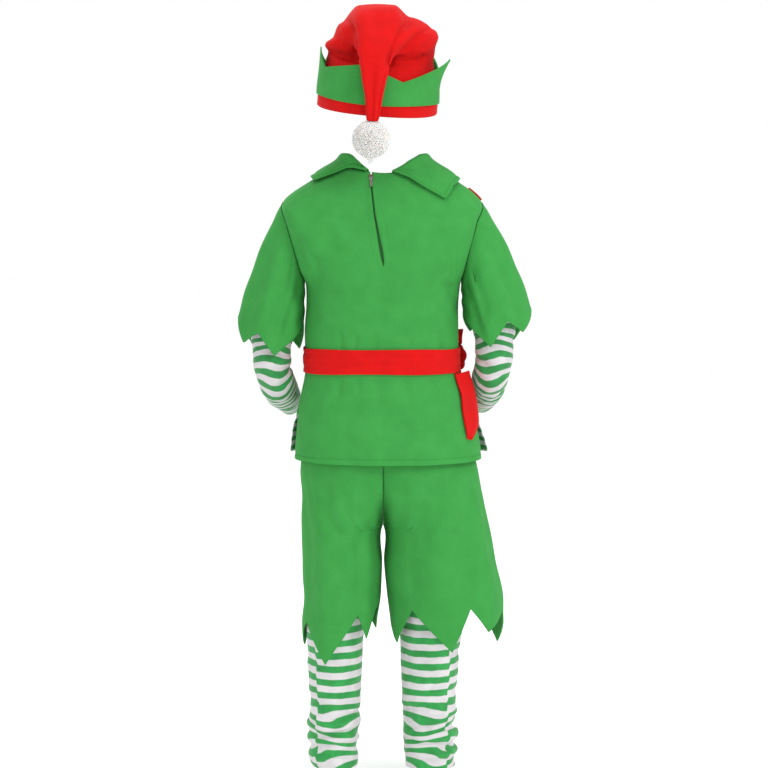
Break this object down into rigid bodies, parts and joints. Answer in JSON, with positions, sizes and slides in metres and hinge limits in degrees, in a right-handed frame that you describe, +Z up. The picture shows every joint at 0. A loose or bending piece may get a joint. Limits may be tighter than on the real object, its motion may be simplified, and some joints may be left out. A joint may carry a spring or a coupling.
{
  "type": "elf costume",
  "caption": "Child's elf costume in worn form: pointed red and green hat with pompom, green tunic with collar and red sash, jagged shorts, striped sleeves and legs.",
  "frame": {"origin": "middle of the shoulders at the base of the neck, where the wearer carries the tunic", "axes": "+Z up along the wearer, -Y the front, +X the wearer's left"},
  "size_m": [0.443, 0.2609, 1.15],
  "materials": {
    "green_felt": "matte brushed felt",
    "red_felt": "matte brushed felt",
    "striped_jersey": "matte knitted jersey, green and white stripes",
    "white_plush": "plush fur",
    "green_tape": "woven zip tape",
    "zip_metal": "polished nickel"
  },
  "bodies": {
    "costume": {"hat_crown": "red_felt", "hat_points": "green_felt", "hat_brim": "red_felt", "pompom": "white_plush", "tunic_back": "green_felt", "tunic_front": "green_felt", "front_skirt": "striped_jersey", "collar_left": "green_felt", "collar_right": "green_felt", "sleeve_left": "green_felt", "sleeve_right": "green_felt", "undersleeve_left": "striped_jersey", "undersleeve_right": "striped_jersey", "shoulder_patch": "red_felt", "sash_belt": "red_felt", "sash_knot": "red_felt", "sash_loop": "red_felt", "sash_end_back": "red_felt", "sash_end_front": "red_felt", "zip_tape_left": "green_tape", "zip_tape_right": "green_tape", "zip_slider": "zip_metal", "shorts_left": "green_felt", "shorts_right": "green_felt", "shorts_waistband": "green_felt", "leg_left": "striped_jersey", "leg_right": "striped_jersey"},
    "zip_pull": {"zip_pull": "zip_metal"}
  },
  "joints": [
    {"name": "zip_pull_swing", "type": "hinge", "parent": "costume", "child": "zip_pull", "pos_m": [0.01732, 0.05796, 0.02023], "axis": [1, 0, 0], "range_deg": [0, 150]}
  ]
}
